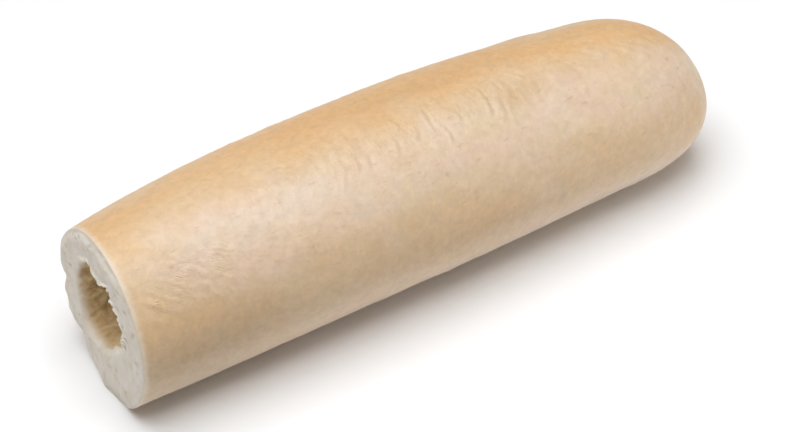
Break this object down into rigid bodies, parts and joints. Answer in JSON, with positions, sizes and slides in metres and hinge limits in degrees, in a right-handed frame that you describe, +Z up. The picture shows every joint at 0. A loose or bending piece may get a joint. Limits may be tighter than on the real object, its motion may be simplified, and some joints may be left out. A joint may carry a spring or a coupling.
{
  "type": "hot dog bun",
  "caption": "Long pale-baked bread roll with one end cut off square and a blind hole down its length for a sausage.",
  "frame": {"origin": "under the middle of the bun, on the surface that it lies on", "axes": "+X along the bun from its cut end to its round nose, +Y across it, +Z up"},
  "size_m": [0.167, 0.048, 0.0439],
  "materials": {
    "crust": "thin, pale golden, leathery bread crust with a satin sheen",
    "crumb": "soft, matt, off-white bread crumb with fine pores"
  },
  "bodies": {
    "root": {"bun": "crust"}
  },
  "joints": []
}
